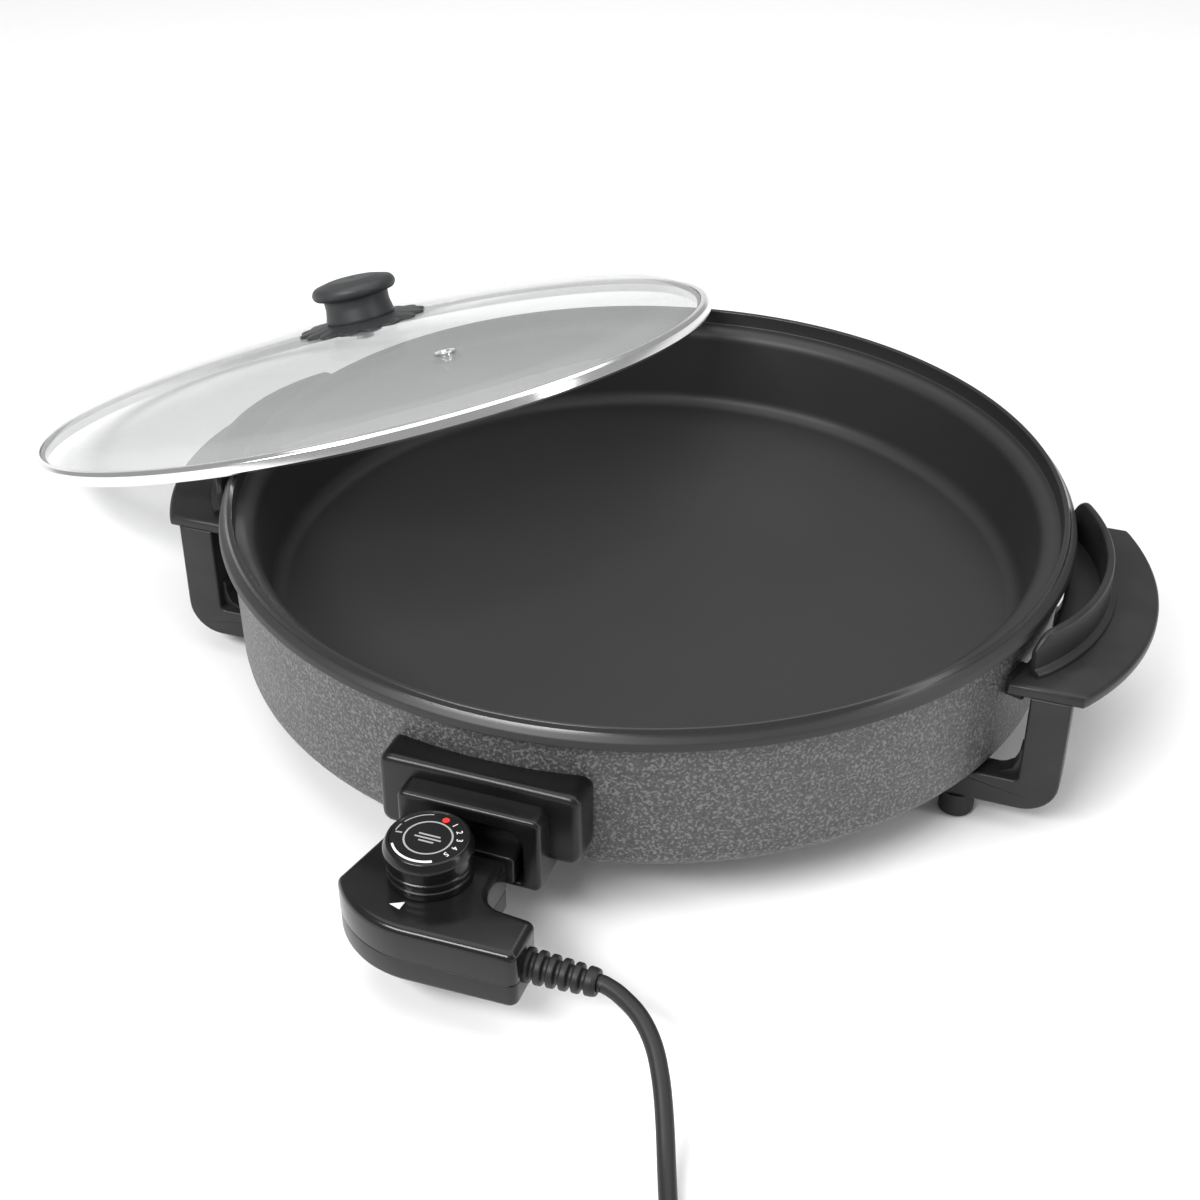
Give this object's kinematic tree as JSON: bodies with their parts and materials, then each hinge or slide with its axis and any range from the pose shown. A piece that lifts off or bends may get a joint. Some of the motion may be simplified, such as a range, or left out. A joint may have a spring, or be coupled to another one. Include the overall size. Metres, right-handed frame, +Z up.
{
  "type": "electric griddle",
  "caption": "Round electric griddle pan in a painted housing with two handles, legs, a plug-in temperature control on a lead and a leaning domed glass lid.",
  "frame": {"origin": "on the pan's axis, at the level of the table the feet stand on", "axes": "+Z up, -Y towards the control and its socket, +X and -X towards the two handles"},
  "size_m": [0.6369, 0.7804, 0.1376],
  "materials": {
    "nonstick": "matte black non-stick coating over pressed aluminium",
    "hammered_paint": "grey hammered paint",
    "plain_steel": "plain sheet steel",
    "screw_steel": "zinc plated",
    "element_steel": "dull heat-stained tube",
    "contact_brass": "plated contacts",
    "ceramic_carrier": "unglazed",
    "socket_plastic": "satin black phenolic",
    "handle_plastic": "satin black phenolic",
    "foot_rubber": "black rubber",
    "control_gloss": "glossy black",
    "control_satin": "satin black",
    "probe_steel": "polished tube",
    "lamp_amber": "amber lamp",
    "cord_rubber": "soft black sheath",
    "plug_plastic": "moulded black",
    "dial_plastic": "satin black",
    "dial_face": "printed disc",
    "lid_glass": "clear tempered glass",
    "lid_steel": "bright steel band"
  },
  "bodies": {
    "griddle": {"pan": "nonstick", "body_shell": "hammered_paint", "base_plate": "plain_steel", "pan_stud": "screw_steel", "base_spacer": "screw_steel", "base_washer": "screw_steel", "base_nut": "screw_steel", "heating_element": "element_steel", "contact_pins": "contact_brass", "sensor_sleeve": "plain_steel", "pin_carrier": "ceramic_carrier", "socket_shroud": "socket_plastic", "socket_screws": "screw_steel", "handle_right": "handle_plastic", "handle_left": "handle_plastic", "handle_screws": "screw_steel", "leg_front_right": "handle_plastic", "leg_front_left": "handle_plastic", "leg_back_right": "handle_plastic", "leg_back_left": "handle_plastic", "leg_screws": "screw_steel", "rubber_feet": "foot_rubber"},
    "lid": {"lid_glass": "lid_glass", "lid_band": "lid_steel", "lid_knob": "handle_plastic", "knob_plate": "handle_plastic", "lid_screw": "screw_steel", "lid_washer": "cord_rubber", "vent_grommet": "lid_steel"},
    "control": {"control_top": "control_gloss", "control_bottom": "control_satin", "control_screws": "screw_steel", "probe": "probe_steel", "contact_sleeves": "contact_brass", "thermostat": "ceramic_carrier", "pilot_lamp": "lamp_amber", "cord_clamp": "control_satin", "strain_relief": "cord_rubber", "cord": "cord_rubber", "cord_coil": "cord_rubber", "plug_lead": "cord_rubber", "plug_body": "plug_plastic", "plug_pins": "contact_brass"},
    "dial": {"dial_knob": "dial_plastic", "dial_face": "dial_face", "dial_shaft": "probe_steel"}
  },
  "joints": [
    {"name": "lid_lift", "type": "slide", "parent": "griddle", "child": "lid", "axis": [0, 0, 1], "range_m": [0, 0.3]},
    {"name": "control_pull", "type": "slide", "parent": "griddle", "child": "control", "axis": [0, -1, 0], "range_m": [0, 0.07]},
    {"name": "dial_turn", "type": "hinge", "parent": "control", "child": "dial", "pos_m": [-0.0075, -0.2412, 0.06], "axis": [0, 0, 1], "range_deg": [-270, 0]}
  ]
}
